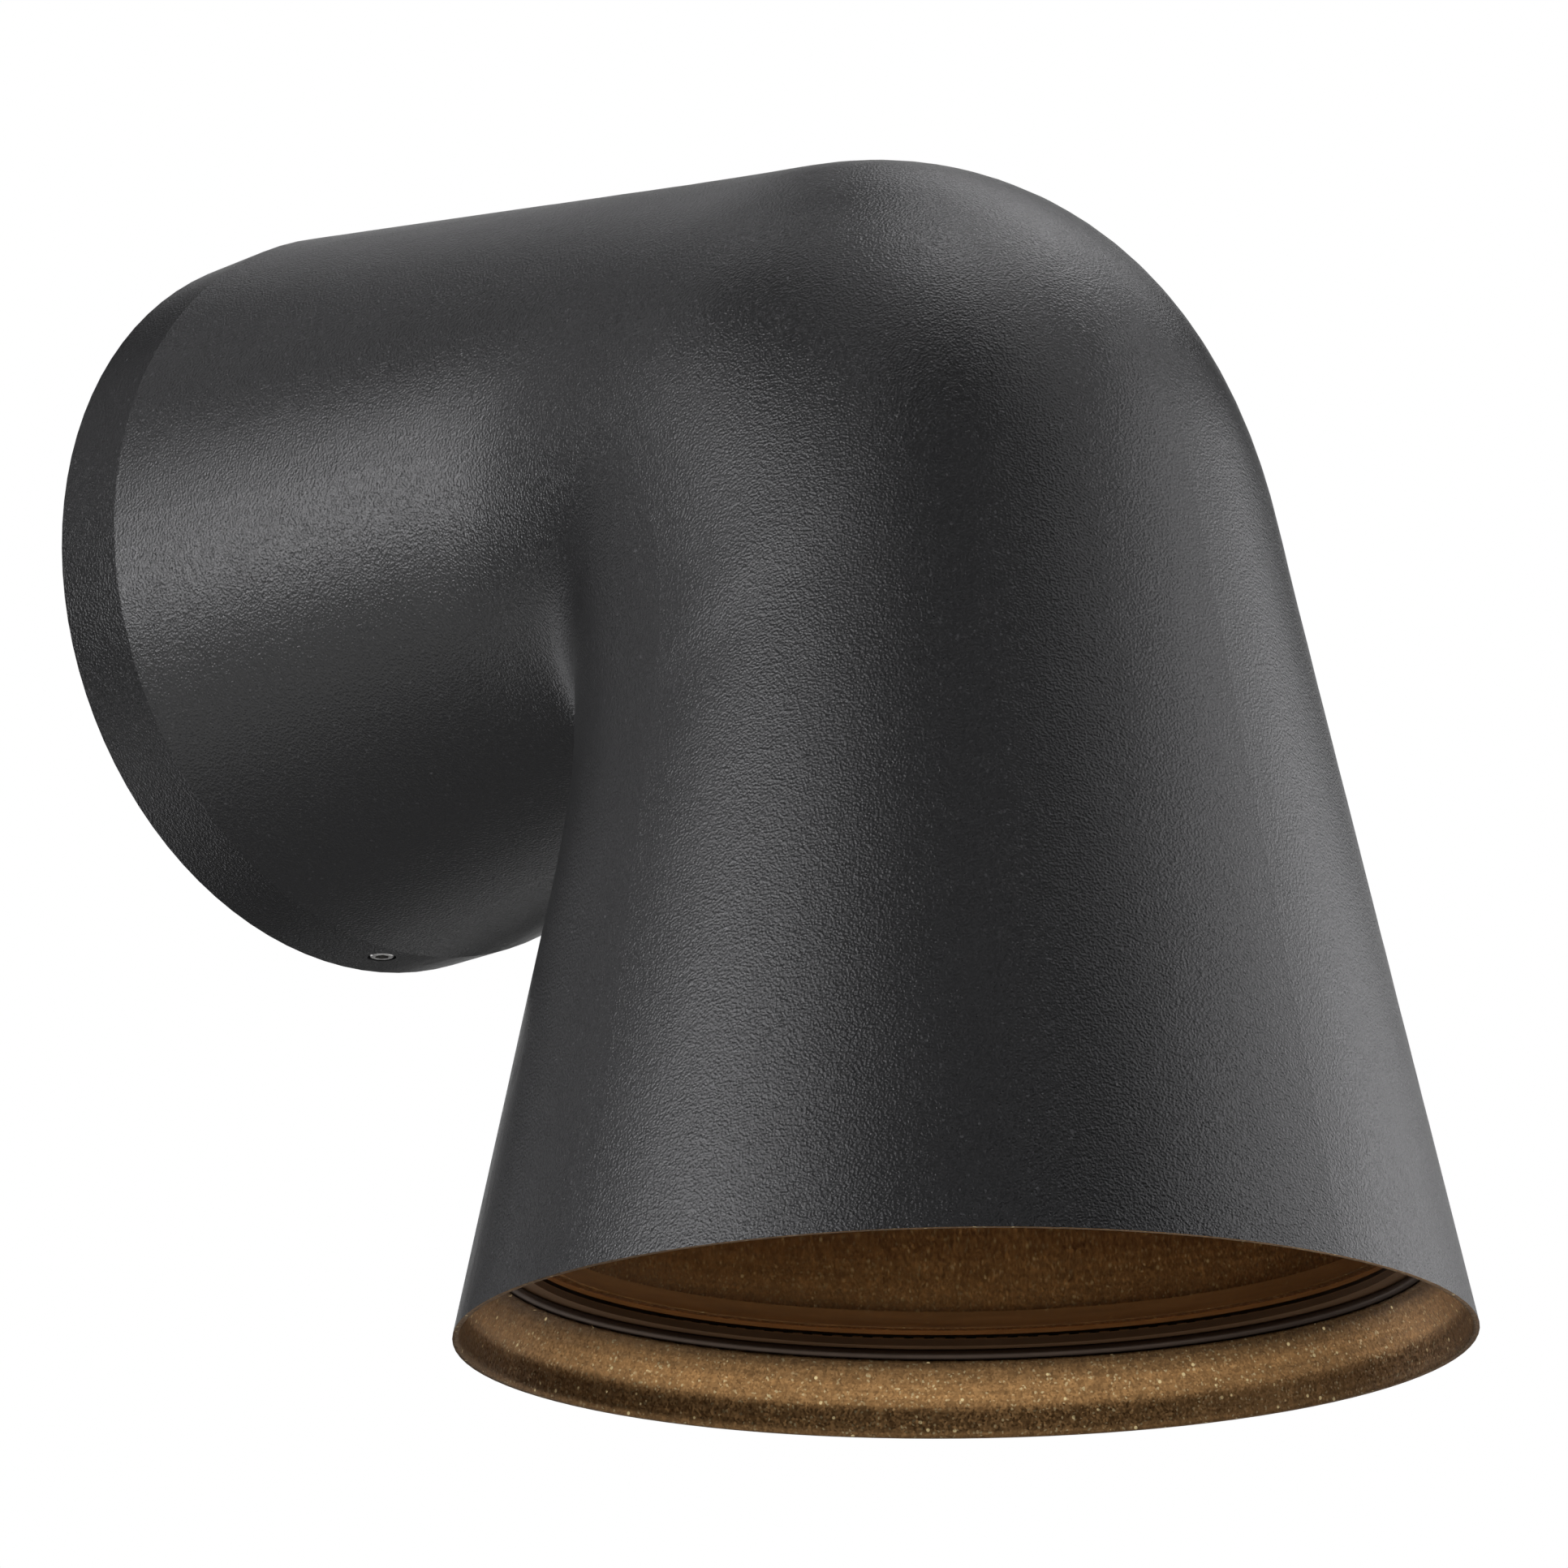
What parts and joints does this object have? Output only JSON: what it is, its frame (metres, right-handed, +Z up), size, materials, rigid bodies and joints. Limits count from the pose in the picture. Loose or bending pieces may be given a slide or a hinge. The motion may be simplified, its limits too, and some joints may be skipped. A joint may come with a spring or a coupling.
{
  "type": "outdoor wall lamp",
  "caption": "Downward-facing outdoor wall lamp: a cast body runs from a round wall base through a smooth elbow to a flared shade closed by a flat glass.",
  "frame": {"origin": "middle of the wall plate's back, on the arm's axis and in the wall plane", "axes": "+Y into the wall, -Y out of it along the arm, +Z up, X across"},
  "size_m": [0.18, 0.259, 0.2455],
  "materials": {
    "black_coat": "matte fine-texture powder coat outside, bronze metallic paint inside",
    "clear_glass": "clear float glass",
    "black_rubber": "matte silicone and EPDM",
    "black_spring": "blackened spring wire",
    "zinc_steel": "zinc plated",
    "bright_steel": "stainless, satin",
    "brass": "plain brass",
    "white_plastic": "polyamide",
    "black_plastic": "phenolic",
    "porcelain": "glazed insulator",
    "brown_lead": "silicone insulation",
    "blue_lead": "silicone insulation",
    "green_lead": "silicone insulation, green with a yellow stripe",
    "tinned_lug": "tinned copper",
    "bulb_metal": "nickel plated",
    "bulb_body": "white heat sink body",
    "opal": "opal diffuser"
  },
  "bodies": {
    "wall_side": {"wall_plate": "zinc_steel", "wall_gasket": "black_rubber", "cable_grommet": "black_rubber", "cable_clamp": "white_plastic", "clamp_screws": "zinc_steel"},
    "lamp_side": {"lamp_body": "black_coat", "lens_glass": "clear_glass", "lens_seal": "black_rubber", "lens_ring": "black_spring", "holder_bracket": "zinc_steel", "bracket_screws": "zinc_steel", "holder_nipple": "brass", "nipple_nut": "zinc_steel", "holder_cap": "black_plastic", "holder_core": "porcelain", "holder_shell": "black_plastic", "holder_sleeve": "brass", "holder_contact": "brass", "terminal_block": "white_plastic", "terminal_sleeves": "brass", "terminal_screws": "zinc_steel", "block_screws": "zinc_steel", "live_lead": "brown_lead", "neutral_lead": "blue_lead", "earth_lead": "green_lead", "earth_lug": "tinned_lug", "earth_screw": "zinc_steel"},
    "bulb": {"bulb_cap": "bulb_metal", "bulb_insulator": "black_plastic", "bulb_contact": "bulb_metal", "bulb_collar": "bulb_body", "bulb_globe": "opal"},
    "grub_screw": {"set_screw": "bright_steel"}
  },
  "joints": [
    {"name": "body_pull_off", "type": "slide", "parent": "wall_side", "child": "lamp_side", "axis": [0, -1, 0], "range_m": [0, 0.05]},
    {"name": "grub_screw_out", "type": "slide", "parent": "lamp_side", "child": "grub_screw", "axis": [0, 0, -1], "range_m": [0, 0.004]},
    {"name": "bulb_turn", "type": "hinge", "parent": "lamp_side", "child": "bulb", "pos_m": [0, -0.169, -0.06], "axis": [0, 0, -1], "range_deg": [0, 360]}
  ]
}
